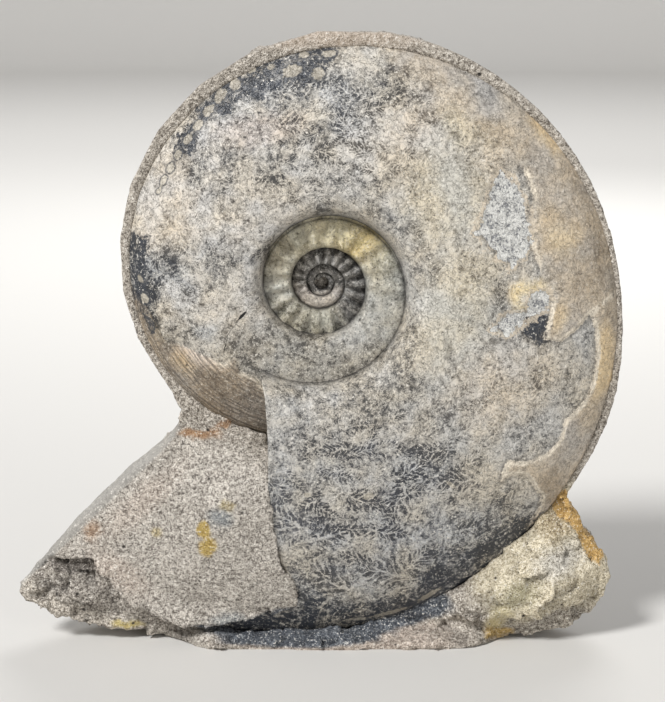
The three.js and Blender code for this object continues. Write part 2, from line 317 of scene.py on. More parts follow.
def relief(places, turn, across):
    """How far the front stands proud of the plain coil, in millimetres."""
    x, z = places[:, 0], places[:, 2]
    crest = crest_at_zero * crest_growth ** (turn / 360)
    fade = (1 - smooth(turn, 400, 640)) * (1 - 0.45 * smooth(turn, 225, 280)) * smooth(turn, -60, 20)
    fade *= (1 - smooth(across, 0.72, 0.96)) * smooth(across, -0.1, 0.1)
    fade *= 1 + 0.5 * clouds(places, 4, 2, 6.0)
    wave = np.cos(np.radians(turn * rib_count + rib_lean * across))
    rib = crest * 0.22 * fade * (np.abs(wave) ** 0.8 * np.sign(wave))
    edge = smooth(np.minimum(across, 1.0), 0.0, 0.08) * (1 - smooth(across, 0.93, 1.0))
    swell = 0.3 * clouds(places, 21, 2, 1.0) + 0.1 * clouds(places, 5, 3, 2.0)
    large = smooth(turn, 420, 700)
    warped = 1.0 * clouds(places, 3.2, 3, 3.0)
    stretch = mix(7, 1, np.maximum(rim_strength(x, z), turn < last_whorl_from))
    layer = 0.75 * smooth((shell_layer(x, z, turn) + warped) / stretch, -0.6, 0.6)
    pit = -0.5 * smooth(rough_layer(x, z, turn) + warped, -0.7, 0.7)
    grit = 0.11 * clouds(places, 1.5, 3, 4.0)
    return rib + edge * large * (swell + layer + pit) + edge * (1 - large) * grit


def no_ledge(turn):
    return np.zeros(turn.shape)


coil_mesh = whorl_tube("coil", ring_turns(), no_ledge, 0, fracture_rows)
strip_turns = np.linspace(strip_from, strip_to, 46)
strip_mesh = whorl_tube("keel_strip", strip_turns, ledge_across, strip_inset, 0)

shell_bm = bmesh.new()
for part_mesh in (coil_mesh, strip_mesh):
    part_bm = bmesh.new()
    part_bm.from_mesh(part_mesh)
    bmesh.ops.remove_doubles(part_bm, verts=part_bm.verts, dist=0.002 * MM)
    bmesh.ops.holes_fill(part_bm, edges=part_bm.edges, sides=0)
    bmesh.ops.recalc_face_normals(part_bm, faces=part_bm.faces)
    part_bm.to_mesh(part_mesh)
    part_bm.free()
    shell_bm.from_mesh(part_mesh)
ammonite_mesh = bpy.data.meshes.new("ammonite_stone")
shell_bm.to_mesh(ammonite_mesh)
shell_bm.free()
for face in ammonite_mesh.polygons:
    face.use_smooth = True
ammonite = bpy.data.objects.new("ammonite_stone", ammonite_mesh)
bpy.context.scene.collection.objects.link(ammonite)


# The colours of the ammonite
# Internal mould of grey calcite and mudstone, with a bloom of pale calcite over it. The bloom is
# thick at the upper left and right and thin over the slate-blue band along the keel. The zones
# also paint light: paler over the upper left, which faces the light, darker over the lower middle.

def srgb(code):
    """A colour written as a hex code, in linear light."""
    parts = [int(code[k:k + 2], 16) / 255 for k in (1, 3, 5)]
    return np.array([v / 12.92 if v <= 0.04045 else ((v + 0.055) / 1.055) ** 2.4 for v in parts])


def vertex_places(mesh):
    found = np.zeros(len(mesh.vertices) * 3)
    mesh.vertices.foreach_get("co", found)
    return found.reshape(-1, 3) / MM


def store(mesh, name, values):
    """Keeps a number or a colour for each vertex."""
    if values.ndim == 1:
        mesh.attributes.new(name, "FLOAT", "POINT").data.foreach_set("value", values)
    else:
        whole = np.ones((len(values), 4))
        whole[:, :3] = values
        mesh.attributes.new(name, "FLOAT_COLOR", "POINT").data.foreach_set("color", whole.ravel())


def paint(state, x, z, place, soft, strength, look):
    """Lays one zone's bloom colour, ground colour and thickness of bloom over those below it."""
    amount = (strength * smooth(blot(x, z, place), 0, soft))[:, None]
    bloom, ground, cover = look
    state["bloom"] = mix(state["bloom"], srgb(bloom), amount)
    state["ground"] = mix(state["ground"], srgb(ground), amount)
    state["cover"] = mix(state["cover"], cover, amount[:, 0])


chalk = ("#e8e1d7", "#6a645c", 0.70)
warm_chalk = ("#e4d9ca", "#756c61", 0.70)
pearl = ("#f3ecde", "#cfc4b0", 0.95)
grey = ("#d2cec8", "#4e4f51", 0.52)
slate = ("#c9c6c0", "#23252b", 0.18)
soft_slate = ("#cfccc6", "#3a3c41", 0.34)
cream = ("#e0d9c9", "#7f786a", 0.72)
brown_shell = ("#d6c9b7", "#7b6f60", 0.64)
tan = ("#edd5ae", "#b0966e", 0.78)
amber = ("#f6e2b6", "#dcbe82", 0.92)
dull_brown = ("#bdae9a", "#695c4e", 0.56)

# These zones hold painted light as well as colour: paler at the upper left, darker lower down
flank_zones = [
    ((-35, 170, 50, 62, 0), 0.5, 1.0, chalk),
    ((-10, 205, 70, 34, 10), 0.6, 0.7, grey),
    ((-58, 178, 17, 30, -15), 0.6, 0.8, warm_chalk),
    ((22, 205, 26, 20, 20), 0.8, 0.8, chalk),
    ((52, 205, 36, 30, -30), 0.7, 0.9, warm_chalk),
    ((-46, 193, 8, 5, 70), 0.6, 0.7, soft_slate),
    ((-14, 222, 40, 9, 14), 0.8, 0.6, soft_slate),
    ((58, 42, 36, 18, 38), 0.8, 0.8, soft_slate),
    ((25, 20, 50, 10, 8), 0.8, 0.6, soft_slate),
    ((38, 232, 22, 4, -14), 0.8, 0.9, soft_slate),
    ((-15, 196, 9, 9, 0), 0.8, 0.6, soft_slate),
    ((5, 214, 16, 9, 0), 0.8, 0.7, soft_slate),
    ((24, 226, 16, 7, -12), 0.8, 0.7, soft_slate),
    ((-22, 210, 26, 9, 10), 0.8, 0.7, ("#e3d3c4", "#6f635a", 0.64)),
    ((58, 212, 16, 13, -30), 0.8, 0.6, ("#dbd5bf", "#6f6a58", 0.66)),
    ((60, 186, 8, 16, 0), 0.8, 0.6, ("#e0d2b6", "#8f7f66", 0.7)),
    ((50, 186, 24, 30, 0), 0.7, 0.9, cream),
    ((55, 140, 22, 36, -10), 0.7, 0.9, cream),
    ((72, 112, 34, 26, 20), 0.8, 0.8, warm_chalk),
    ((-45, 157, 34, 15, 0), 0.8, 0.9, grey),
    ((-66, 152, 10, 15, 10), 0.6, 1.0, soft_slate),
    ((-55, 156, 8, 7, 0), 0.6, 0.9, soft_slate),
    ((-70, 158, 3.5, 6, 0), 0.6, 0.9, slate),
    ((-64, 146, 3.5, 6, 20), 0.6, 0.9, slate),
    ((-67, 138, 5, 12, 12), 0.5, 1.0, slate),
    ((-44, 132, 9, 5, 20), 0.7, 0.8, soft_slate),
    ((-22, 162, 8, 8, 0), 0.8, 0.6, soft_slate),
    ((12, 96, 34, 22, 0), 0.6, 0.8, grey),
    ((20, 62, 52, 42, 10), 0.5, 1.0, ("#cdcac5", "#45464b", 0.50)),
    ((-10, 50, 10, 50, 0), 0.6, 0.9, ("#cfcbc4", "#5b5b5e", 0.52)),
    ((38, 76, 18, 12, 20), 0.8, 0.7, soft_slate),
    ((38, 20, 12, 5, 20), 0.7, 0.7, grey),
    ((-5, 24, 8, 8, 0), 0.8, 0.5, slate),
    ((86.5, 133.5, 9, 7, -10), 0.4, 1.0, ("#b9b2a6", "#262423", 0.1)),
    ((82, 146.5, 9, 8.5, 10), 0.6, 1.0, amber),
    ((82.5, 145.5, 5, 5, 0), 0.8, 1.0, pearl),
]
shell_zones = [
    ((70, 225, 30, 14, -35), 0.8, 0.7, grey),
    ((90.5, 207, 15, 6.5, -54), 0.8, 1.0, tan),
    ((101, 190, 7, 20, 25), 0.9, 0.5, dull_brown),
    ((95, 168, 13, 10, 20), 0.9, 1.0, tan),
    ((88, 176, 12, 8, 0), 0.9, 0.5, tan),
    ((110, 162, 6, 22, 5), 0.8, 0.7, dull_brown),
    ((83, 147.5, 10, 9, 0), 0.8, 1.0, amber),
    ((82.5, 145.5, 5, 5, 0), 0.8, 1.0, pearl),
    ((94, 137, 6, 9, -20), 0.8, 0.8, tan),
    ((104, 150, 7, 8, 0), 0.8, 0.6, dull_brown),
    ((114, 118, 7, 20, 0), 0.5, 1.0, ("#f1dcb8", "#bd9f74", 0.85)),
    ((104, 84, 11, 18, -20), 0.6, 1.0, ("#d2c7b8", "#82776b", 0.68)),
    ((94, 66, 9, 12, -20), 0.8, 0.8, ("#b5a48d", "#8f8170", 0.7)),
]
bared_zones = [
    ((-46, 122, 15, 8, -20), 0.7, 1.0, ("#cdbfb2", "#9b8f84", 0.85)),
    ((-53, 118, 6, 10, 30), 0.8, 0.9, ("#c4ad8c", "#8f7a5c", 0.7)),
    ((-62, 133, 6, 12, 25), 0.7, 0.8, ("#aca292", "#6c665c", 0.5)),
    ((-30, 96, 26, 10, -25), 0.7, 0.7, ("#9a8d7e", "#63594d", 0.5)),
]

# What each of the small whorls is made of, by how far the shell had grown: a dark slate centre,
# a rough pink fill, slate ribs, honey-coloured calcite, then grey stone
whorl_looks = [
    (-400, ("#96918a", "#37342f", 0.40)),
    (-180, ("#96918a", "#37342f", 0.40)),
    (-150, ("#ecdfd0", "#6b6055", 0.70)),
    (-20, ("#ecdfd0", "#6b6055", 0.70)),
    (10, ("#b3aea6", "#45423d", 0.48)),
    (225, ("#b3aea6", "#4b4843", 0.48)),
    (262, ("#d4d0bf", "#6b675a", 0.64)),
    (350, ("#d8d4c6", "#6c6857", 0.62)),
    (400, ("#d9d3bf", "#726b58", 0.66)),
    (440, ("#e8dbb8", "#948866", 0.78)),
    (470, ("#e4d6ae", "#8c8060", 0.76)),
    (492, ("#e0ca90", "#8f7c48", 0.76)),
    (514, ("#d2ccb6", "#7b7662", 0.66)),
    (535, ("#cfccc0", "#77756c", 0.62)),
    (600, ("#cfcac0", "#63605b", 0.56)),
    (690, ("#bfbab0", "#55524d", 0.47)),
]

places = vertex_places(ammonite_mesh)
growth = np.zeros(len(places) * 3)
ammonite_mesh.attributes["growth"].data.foreach_get("vector", growth)
turn, _, across = growth.reshape(-1, 3).T
turn = np.degrees(turn)
x = places[:, 0] + 2.2 * clouds(places, 9, 3, 11.0)
z = places[:, 2] + 2.2 * clouds(places, 9, 3, 12.0)

state = {
    "bloom": np.tile(srgb("#d6d0c6"), (len(places), 1)),
    "ground": np.tile(srgb("#5f5d5a"), (len(places), 1)),
    "cover": np.full(len(places), 0.6),
}
for place, soft, strength, look in flank_zones:
    paint(state, x, z, place, soft, strength, look)

layer = shell_layer(places[:, 0], places[:, 2], turn)
rim = rim_strength(places[:, 0], places[:, 2])
on_shell = smooth(layer / mix(14, 1, np.maximum(rim, turn < last_whorl_from)), -0.5, 0.5)
flank = dict(state)
everywhere = (0, 130, 1e4, 1e4, 0)
paint(state, x, z, everywhere, 0.5, 1.0, brown_shell)
for place, soft, strength, look in shell_zones:
    paint(state, x, z, place, soft, strength, look)
right = dict(state)
paint(state, x, z, everywhere, 0.5, 1.0, ("#a99c8c", "#6b6156", 0.5))
for place, soft, strength, look in bared_zones:
    paint(state, x, z, place, soft, strength, look)
bared = state
small = 1 - smooth(turn, 640, 730)
# The small whorls take colours by their turn, and a pinkish fill lies in the middle of the coil
pink = (srgb("#f3e8da"), srgb("#746a5f"), 0.76)
in_pink = smooth(blot(places[:, 0], places[:, 2], (coil_x + 0.4, coil_z - 8, 9.5, 5.6, 8)), 0, 0.25)
in_pink = in_pink * (turn < 60) * (turn > -560)
grown = [t for t, _ in whorl_looks]
for k, key in enumerate(("bloom", "ground", "cover")):
    shape = (-1,) + (1,) * (flank[key].ndim - 1)
    shell_look = np.where((turn > last_whorl_from).reshape(shape), right[key], bared[key])
    outer = mix(flank[key], shell_look, on_shell.reshape(shape))
    if key == "cover":
        inner = np.interp(turn, grown, [look[k] for _, look in whorl_looks])
    else:
        ramp = np.array([srgb(look[k]) for _, look in whorl_looks])
        inner = np.stack([np.interp(turn, grown, ramp[:, c]) for c in range(3)], axis=1)
    uncovered = (small * (1 - on_shell)).reshape(shape)
    store(ammonite_mesh, key, mix(mix(outer, inner, uncovered), pink[k], in_pink.reshape(shape)))

store(ammonite_mesh, "shell_layer", np.clip(layer, -6, 6))
bare = np.maximum.reduce([to_outline(places[:, 0], places[:, 2], outline) for outline in slate_outlines])
store(ammonite_mesh, "slate_layer", np.where(turn > smooth_from, np.clip(bare, -6, 6), -6))

store(ammonite_mesh, "rim", rim * np.where(turn > last_whorl_from, 1.0, 0.5))
store(ammonite_mesh, "crisp", np.maximum(rim, turn < last_whorl_from))
store(ammonite_mesh, "rough_layer", np.clip(rough_layer(places[:, 0], places[:, 2], turn), -6, 6))

# How plainly the ferns show: plainest over the lower middle and at the top
fern_zones = [
    ((20, 60, 62, 48, 20), 0.4, 1.0),
    ((15, 208, 40, 26, -8), 0.5, 0.95),
    ((-42, 185, 22, 26, 0), 0.6, 0.5),
    ((48, 165, 20, 60, 0), 0.6, 0.55),
    ((75, 112, 30, 22, 20), 0.6, 0.65),
]
fern_strength = np.full(len(places), 0.42)
for place, soft, strength in fern_zones:
    fern_strength = mix(fern_strength, strength, smooth(blot(x, z, place), 0, soft))
store(ammonite_mesh, "ferns", fern_strength * smooth(turn, 640, 740))

# Pale oval fillings of the keel's chambers, which stand in a row along the upper left edge
keel_spots = [
    (-61.0, 186.0, 1.6, 1.0, 60), (-59.2, 190.0, 2.0, 1.3, 60), (-56.4, 194.8, 2.2, 1.5, 60),
    (-53.4, 200.0, 2.4, 1.4, 58), (-49.4, 206.0, 2.6, 1.6, 55), (-45.6, 211.2, 2.8, 1.6, 50),
    (-41.4, 216.9, 3.0, 1.8, 50), (-36.9, 222.4, 3.2, 2.2, 50), (-31.0, 226.8, 2.4, 2.4, 60),
    (-24.6, 232.2, 2.0, 1.2, 30), (-17.2, 233.4, 1.8, 1.2, 20), (5.0, 238.5, 3.0, 1.4, 10),
    (-4.5, 238.0, 2.4, 1.3, 10), (-9.0, 232.0, 4.2, 2.4, 20), (1.0, 231.0, 2.6, 2.6, 0),
    (-67.6, 143.2, 2.4, 1.8, 120), (-69.2, 151.0, 2.2, 1.1, 120), (53.4, 70.9, 3.0, 0.9, 140),
    (20.5, 67.0, 2.6, 1.5, 20), (-3.3, 68.2, 1.6, 1.2, 0), (73.6, 62.6, 1.2, 0.8, 0),
    (30.0, 11.6, 9.5, 1.2, 14), (46.0, 19.5, 6.5, 1.4, 32), (16.0, 9.4, 6.0, 0.9, 4),
]
spots = np.full(len(places), -1.0)
for spot in keel_spots:
    spots = np.maximum(spots, blot(places[:, 0], places[:, 2], spot))
store(ammonite_mesh, "spots", np.where(turn > 700, spots, -1))


def beside_line(x, z, line):
    """Signed distance in millimetres to the side of an open line, or 9 where it has ended."""
    best = np.full(x.shape, 1e9)
    side = np.zeros(x.shape)
    for (ax, az), (bx, bz) in zip(line, line[1:]):
        dx, dz = bx - ax, bz - az
        length = math.hypot(dx, dz)
        along = ((x - ax) * dx + (z - az) * dz) / length
        off = ((x - ax) * dz - (z - az) * dx) / length
        past = np.maximum(0, np.maximum(-along, along - length))
        near = np.hypot(past, off)
        side = np.where(near < best, np.where(past > 0.6, 9, off), side)
        best = np.minimum(best, near)
    return side


cracked = beside_line(places[:, 0] + 0.5 * clouds(places, 3, 2, 15.0), places[:, 2], crack_line)
store(ammonite_mesh, "crack", np.where((turn > bared_from) & (turn < 900), cracked, 9))
holes = np.full(len(places), 9.0)
for hole_x, hole_z, hole_radius in pin_holes:
    holes = np.minimum(holes, np.hypot(places[:, 0] - hole_x, places[:, 2] - hole_z) - hole_radius)
store(ammonite_mesh, "holes", np.where(turn > bared_from, holes, 9))
# Painted shade darkens the colour in the seam under each whorl, partly also the seam's own dark line
# of dirt, and where the next whorl lies on it, in the hollows between the ribs, and most of all under
# the overhanging seam wall above the middle of the coil
width_mm = keel_radius(turn) - seam_radius(turn)
from_seam = across * width_mm
to_next = np.abs(seam_radius(turn + 360) - seam_radius(turn) - from_seam)
line_mm = 0.3 + 0.4 * smooth(turn, 0, 700)
crevice_shade = np.exp(-from_seam / line_mm) + (turn < 660) * np.exp(-to_next / line_mm)
rib_fade = (1 - 0.6 * smooth(turn, 225, 280)) * (1 - smooth(turn, 400, 600)) * smooth(turn, -60, 20)
rib_gap_shade = smooth(-np.cos(np.radians(turn * rib_count + rib_lean * across)), -0.2, 1.0) * rib_fade
notch_shade = np.clip(1 - to_next / 2.2, 0, 1) * (turn < 430) * smooth(clouds(places, 1.6, 2, 16.0), -0.3, 0.3)
overhang_shadow = (turn > 700) * smooth(places[:, 2] - coil_z, 0, 30) * np.exp(-from_seam / 1.6)
# The shade kept here is painted shade: the seams, rib hollows and overhang darken the colour
shade = (1 - 0.85 * np.clip(crevice_shade, 0, 1)) * (1 - 0.48 * rib_gap_shade * smooth(across, 0.0, 0.3))
shade *= (1 - 0.6 * notch_shade * rib_gap_shade) * (1 - 0.55 * overhang_shadow)
store(ammonite_mesh, "shade", shade)
wide = smooth(2.6 - np.hypot(places[:, 0] - gash[0], places[:, 2] - gash[1]), 0, 1.2)
store(ammonite_mesh, "crack_width", -0.02 + 0.42 * wide)


# The finish of the ammonite
# Polished calcite and mudstone: satin where the mould is smooth, dull where it is rough. The fern
# figures are the suture lines, the folded edges of the walls between the shell's chambers.

def node(tree, kind, inputs=(), out=0, **settings):
    """Adds a node with its settings and its links or values, and gives the socket that comes out."""
    made = tree.nodes.new("ShaderNode" + kind)
    for name, value in settings.items():
        setattr(made, name, value)
    for socket, value in dict(inputs).items():
        if isinstance(value, bpy.types.NodeSocket):
            tree.links.new(value, made.inputs[socket])
        else:
            made.inputs[socket].default_value = value
    return made.outputs[out] if len(made.outputs) else made


# One fern figure, in shares of its cell: half its length, the step between its leaflets, and their
# slant to its middle rib in radians
leaf_length = 0.62
leaflet_spacing = 0.17
leaflet_slant = 0.75


def ferns(tree, at, size):
    """Fern figures, one to each cell of a plane: the dark leaflets, and the pale veins between them."""
    swirl = node(tree, "TexNoise", {"Vector": at, "Scale": 3.0 * size, "Detail": 2.0}, out=1)
    swirl = node(tree, "VectorMath", {0: swirl, 1: (0.5, 0.5, 0.5)}, operation="SUBTRACT")
    bent = node(tree, "VectorMath", {0: swirl, 1: (0.34 / size,) * 3, 2: at}, operation="MULTIPLY_ADD")
    cells = {"Vector": bent, "Scale": size, "Randomness": 0.8}
    middle = node(tree, "TexVoronoi", cells, out=2, voronoi_dimensions="2D")
    chance = node(tree, "TexVoronoi", cells, out=1, voronoi_dimensions="2D")
    local = node(tree, "VectorMath", {0: bent, 1: middle}, operation="SUBTRACT")
    local = node(tree, "VectorMath", {0: local, 3: size}, operation="SCALE")
    lean = node(tree, "MapRange", {0: node(tree, "SeparateColor", {0: chance}), 3: -0.75, 4: 0.75})
    turned = node(tree, "Math", {0: node(tree, "SeparateColor", {0: chance}, out=1)}, operation="ROUND")
    angle = node(tree, "Math", {0: turned, 1: math.pi, 2: lean}, operation="MULTIPLY_ADD")
    local = node(tree, "VectorRotate", {"Vector": local, "Angle": angle}, rotation_type="Z_AXIS")
    along = node(tree, "SeparateXYZ", {0: local}, out=0)
    beside = node(tree, "SeparateXYZ", {0: local}, out=1)
    beside = node(tree, "Math", {0: beside}, operation="ABSOLUTE")

    share = node(tree, "Math", {0: along, 1: leaf_length}, operation="DIVIDE")
    oval = node(tree, "Math", {0: share, 1: share}, operation="MULTIPLY")
    oval = node(tree, "Math", {0: oval, 1: -1.0, 2: 1.0}, operation="MULTIPLY_ADD")
    oval = node(tree, "Math", {0: oval, 1: 0.0}, operation="MAXIMUM")
    oval = node(tree, "Math", {0: oval}, operation="SQRT")
    leaf_width = node(tree, "Math", {0: share, 1: -0.14, 2: 0.28}, operation="MULTIPLY_ADD")
    leaf_width = node(tree, "Math", {0: oval, 1: leaf_width}, operation="MULTIPLY")

    back = -1 / math.tan(leaflet_slant)
    start = node(tree, "Math", {0: beside, 1: back, 2: along}, operation="MULTIPLY_ADD")
    step = node(tree, "Math", {0: start, 1: leaflet_spacing}, operation="DIVIDE")
    step = node(tree, "Math", {0: step}, operation="FRACT")
    notch = node(tree, "Math", {0: step, 1: 0.5}, operation="SUBTRACT")
    notch = node(tree, "Math", {0: notch}, operation="ABSOLUTE")
    notch = node(tree, "Math", {0: notch, 1: 2.0}, operation="MULTIPLY")
    limit = node(tree, "Math", {0: notch, 1: -0.65, 2: 1.05}, operation="MULTIPLY_ADD")
    limit = node(tree, "Math", {0: leaf_width, 1: limit}, operation="MULTIPLY")
    inside = node(tree, "Math", {0: limit, 1: beside}, operation="SUBTRACT")
    inside = node(tree, "MapRange", {0: inside, 1: -0.01, 2: 0.02})
    leaflet = node(tree, "MapRange", {0: notch, 1: 0.80, 2: 0.66})

    rib = node(tree, "Math", {0: along, 1: -0.022, 2: 0.020}, operation="MULTIPLY_ADD")
    rib = node(tree, "Math", {0: rib, 1: beside}, operation="SUBTRACT")
    rib = node(tree, "MapRange", {0: rib, 1: -0.004, 2: 0.010})
    in_leaf = node(tree, "Math", {0: share}, operation="ABSOLUTE")
    in_leaf = node(tree, "Math", {0: in_leaf, 1: 1.0}, operation="LESS_THAN")
    rib = node(tree, "Math", {0: rib, 1: in_leaf}, operation="MULTIPLY")
    vein_reach = node(tree, "Math", {0: leaf_width, 1: 1.3}, operation="MULTIPLY")
    vein_reach = node(tree, "Math", {0: beside, 1: vein_reach}, operation="LESS_THAN")
    vein = node(tree, "MapRange", {0: notch, 1: 0.76, 2: 0.92})
    vein = node(tree, "Math", {0: vein, 1: vein_reach}, operation="MULTIPLY")

    dark = node(tree, "Math", {0: inside, 1: leaflet}, operation="MULTIPLY")
    off_rib = node(tree, "Math", {0: 1.0, 1: rib}, operation="SUBTRACT")
    dark = node(tree, "Math", {0: dark, 1: off_rib}, operation="MULTIPLY")
    pale = node(tree, "Math", {0: vein, 1: 0.8}, operation="MULTIPLY")
    pale = node(tree, "Math", {0: rib, 1: pale}, operation="MAXIMUM")
    strength = node(tree, "SeparateColor", {0: chance}, out=2)
    strength = node(tree, "MapRange", {0: strength, 1: 0.05, 2: 0.4, 3: 0.2, 4: 1.0})
    dark = node(tree, "Math", {0: dark, 1: strength}, operation="MULTIPLY")
    pale = node(tree, "Math", {0: pale, 1: strength}, operation="MULTIPLY")
    return dark, pale


def near(tree, value, middle, outer, inner, strength=1.0):
    """Strength where a value is within inner of the middle, and 0 where it is past outer."""
    off = node(tree, "Math", {0: value, 1: middle}, operation="SUBTRACT")
    off = node(tree, "Math", {0: off}, operation="ABSOLUTE")
    return node(tree, "MapRange", {0: off, 1: outer, 2: inner, 3: 0.0, 4: strength})


stone = bpy.data.materials.new("calcite_mudstone_mould")
stone.use_nodes = True
tree = stone.node_tree
tree.nodes.clear()

spot = node(tree, "TexCoord", out=3)
mm_scale = node(tree, "VectorMath", {0: spot, 3: 1 / MM}, operation="SCALE")
grown_at = node(tree, "Attribute", out=1, attribute_name="growth")
bloom = node(tree, "Attribute", attribute_name="bloom")
ground = node(tree, "Attribute", attribute_name="ground")
cover = node(tree, "Attribute", out=2, attribute_name="cover")
layer_in = node(tree, "Attribute", out=2, attribute_name="shell_layer")
rough_in = node(tree, "Attribute", out=2, attribute_name="rough_layer")
spot_in = node(tree, "Attribute", out=2, attribute_name="spots")
crack_in = node(tree, "Attribute", out=2, attribute_name="crack")
slate_in = node(tree, "Attribute", out=2, attribute_name="slate_layer")
rim_in = node(tree, "Attribute", out=2, attribute_name="rim")
fern_in = node(tree, "Attribute", out=2, attribute_name="ferns")
shade_in = node(tree, "Attribute", out=2, attribute_name="shade")
crack_wide = node(tree, "Attribute", out=2, attribute_name="crack_width")

grain = node(tree, "TexNoise", {"Vector": mm_scale, "Scale": 0.75, "Detail": 2.0, "Roughness": 0.6})
fine = node(tree, "TexNoise", {"Vector": mm_scale, "Scale": 1.6, "Detail": 1.0, "Roughness": 0.6})
crust = node(tree, "TexNoise", {"Vector": mm_scale, "Scale": 0.30, "Detail": 3.0, "Roughness": 0.65})
mottle = node(tree, "TexNoise", {"Vector": mm_scale, "Scale": 0.09, "Detail": 4.0, "Roughness": 0.6})
fern_plane = node(tree, "VectorMath", {0: grown_at, 1: (1.0, 1.0, 0.0)}, operation="MULTIPLY")
aside = node(tree, "VectorMath", {0: fern_plane, 1: (3.37, 1.71, 0.0)}, operation="ADD")
large_dark, large_pale = ferns(tree, fern_plane, 4.9)
small_dark, small_pale = ferns(tree, aside, 7.2)
clear = node(tree, "Math", {0: 1.0, 1: large_pale}, operation="SUBTRACT")
small_dark = node(tree, "Math", {0: small_dark, 1: clear}, operation="MULTIPLY")
leaves = node(tree, "Math", {0: large_dark, 1: small_dark}, operation="MAXIMUM")
clear = node(tree, "Math", {0: 1.0, 1: leaves}, operation="SUBTRACT")
veins = node(tree, "Math", {0: large_pale, 1: small_pale}, operation="MAXIMUM")
veins = node(tree, "Math", {0: veins, 1: clear}, operation="MULTIPLY")

# The shell and the rough patches end in a broken edge that wanders by a millimetre or two
wander = node(tree, "MapRange", {0: grain, 3: -1.1, 4: 1.1})
layer_edge = node(tree, "Math", {0: layer_in, 1: wander}, operation="ADD")
crisp_in = node(tree, "Attribute", out=2, attribute_name="crisp")
edge_width = node(tree, "MapRange", {0: crisp_in, 3: 5.0, 4: 0.15})
layer_on = node(tree, "Math", {0: layer_edge, 1: edge_width}, operation="DIVIDE")
layer_on = node(tree, "MapRange", {0: layer_on, 1: -1.0, 2: 1.0})
layer_rim = near(tree, layer_edge, 0.35, 1.2, 0.6)
rim_break = node(tree, "MapRange", {0: crust, 1: 0.36, 2: 0.50})
layer_rim = node(tree, "Math", {0: layer_rim, 1: rim_break}, operation="MULTIPLY")
layer_rim = node(tree, "Math", {0: layer_rim, 1: rim_in}, operation="MULTIPLY")
rough_wander = node(tree, "MapRange", {0: crust, 1: 0.3, 2: 0.7, 3: -2.0, 4: 2.0}, clamp=False)
rough_edge = node(tree, "Math", {0: rough_in, 1: rough_wander}, operation="ADD")
rough_on = node(tree, "MapRange", {0: rough_edge, 1: -0.2, 2: 0.2})

slate_edge = node(tree, "MapRange", {0: crust, 1: 0.3, 2: 0.7, 3: -2.4, 4: 2.4}, clamp=False)
slate_edge = node(tree, "Math", {0: slate_edge, 1: slate_in}, operation="ADD")
slate_on = node(tree, "MapRange", {0: slate_edge, 1: -0.5, 2: 0.6, 3: 0.0, 4: 0.95})
cover = node(tree, "Mix", {0: slate_on, 2: cover, 3: 0.05})
ground = node(tree, "Mix", {0: slate_on, 6: ground, 7: (*srgb("#373b43"), 1)}, out=2, data_type="RGBA")

# How much of the pale bloom lies at each point. It fills the veins of the ferns and leaves the
# leaflets bare
fern = node(tree, "Math", {0: leaves, 1: -1.25, 2: veins}, operation="MULTIPLY_ADD")
shell_part = node(tree, "MapRange", {0: layer_on, 3: 0.36, 4: 0.06})
fern_part = node(tree, "Math", {0: fern_in, 1: shell_part}, operation="MULTIPLY")
amount = node(tree, "Math", {0: fern, 1: fern_part, 2: cover}, operation="MULTIPLY_ADD")
bumpiness = node(tree, "MapRange", {0: cover, 1: 0.5, 2: 0.8, 3: 1.0, 4: 0.7})
on_bloom = node(tree, "MapRange", {0: layer_on, 3: 1.0, 4: 0.6})
bumpiness = node(tree, "Math", {0: bumpiness, 1: on_bloom}, operation="MULTIPLY")
for layer, strength in ((mottle, 0.34), (crust, 0.30), (grain, 0.24), (fine, 0.12)):
    lift = node(tree, "MapRange", {0: layer, 1: 0.32, 2: 0.68, 3: -strength, 4: strength}, clamp=False)
    amount = node(tree, "Math", {0: lift, 1: bumpiness, 2: amount}, operation="MULTIPLY_ADD")
lace = node(tree, "TexNoise", {"Vector": mm_scale, "Scale": 0.16, "Detail": 5.0, "Roughness": 0.7})
lace = near(tree, lace, 0.5, 0.035, 0.0, 0.26)
amount = node(tree, "Math", {0: amount, 1: lace}, operation="ADD")
thread = near(tree, crust, 0.5, 0.022, 0.004, 0.5)
off_slate = node(tree, "MapRange", {0: slate_on, 3: 1.0, 4: 0.25})
thread = node(tree, "Math", {0: thread, 1: off_slate}, operation="MULTIPLY")
amount = node(tree, "Math", {0: thread, 1: bumpiness, 2: amount}, operation="MULTIPLY_ADD")
amount = node(tree, "MapRange", {0: amount, 1: 0.08, 2: 0.84})
colour = node(tree, "Mix", {0: amount, 6: ground, 7: bloom}, out=2, data_type="RGBA")

crease = node(tree, "TexNoise", {"Vector": mm_scale, "Scale": 0.34, "Detail": 3.0, "Roughness": 0.62})
crease = near(tree, crease, 0.5, 0.017, 0.003)
crease_ink = node(tree, "Math", {0: crease, 1: bumpiness}, operation="MULTIPLY")
crease_ink = node(tree, "Math", {0: crease_ink, 1: 0.50}, operation="MULTIPLY")
colour = node(tree, "Mix", {0: crease_ink, 6: colour, 7: ground}, out=2, data_type="RGBA")
tint = node(tree, "TexNoise", {"Vector": mm_scale, "Scale": 0.05, "Detail": 3.0, "Roughness": 0.6})
tint = node(tree, "MapRange", {0: tint, 1: 0.38, 2: 0.62})
tint = node(tree, "Mix", {0: tint, 6: (0.95, 0.985, 1.04, 1), 7: (1.05, 1.005, 0.92, 1)},
            out=2, data_type="RGBA")
colour = node(tree, "VectorMath", {0: colour, 1: tint}, operation="MULTIPLY")
specks = node(tree, "Math", {0: fine, 1: grain}, operation="ADD")
white_speck = node(tree, "MapRange", {0: specks, 1: 1.20, 2: 1.28, 3: 0.0, 4: 0.85})
white_thread = node(tree, "Math", {0: thread, 1: amount}, operation="MULTIPLY")
white_speck = node(tree, "Math", {0: white_speck, 1: white_thread}, operation="MAXIMUM")
